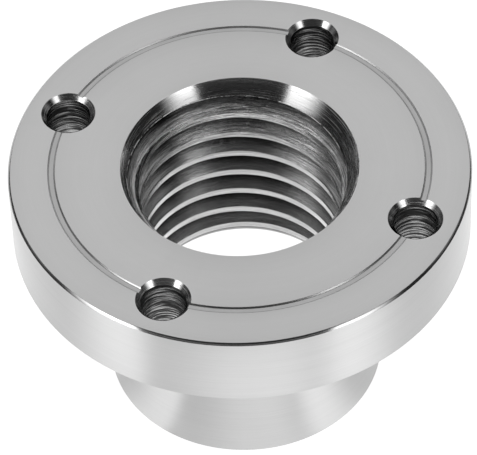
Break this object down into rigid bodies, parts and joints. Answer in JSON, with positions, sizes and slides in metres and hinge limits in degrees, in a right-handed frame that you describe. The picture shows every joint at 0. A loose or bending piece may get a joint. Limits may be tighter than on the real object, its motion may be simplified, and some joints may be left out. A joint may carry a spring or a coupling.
{
  "type": "lathe faceplate",
  "caption": "Small steel faceplate for a wood lathe: a flat round flange with screw holes and a ring groove, on a hub bored and threaded for the spindle.",
  "frame": {"origin": "centre of the hub's end face, the face that seats on the lathe spindle's shoulder", "axes": "+Z along the axis from the hub to the work face; two of the four screw holes lie on X and two on Y"},
  "size_m": [0.0508, 0.0508, 0.0308],
  "materials": {
    "turned_steel": "bright bare steel with fine turning lines"
  },
  "bodies": {
    "root": {"faceplate": "turned_steel"}
  },
  "joints": []
}
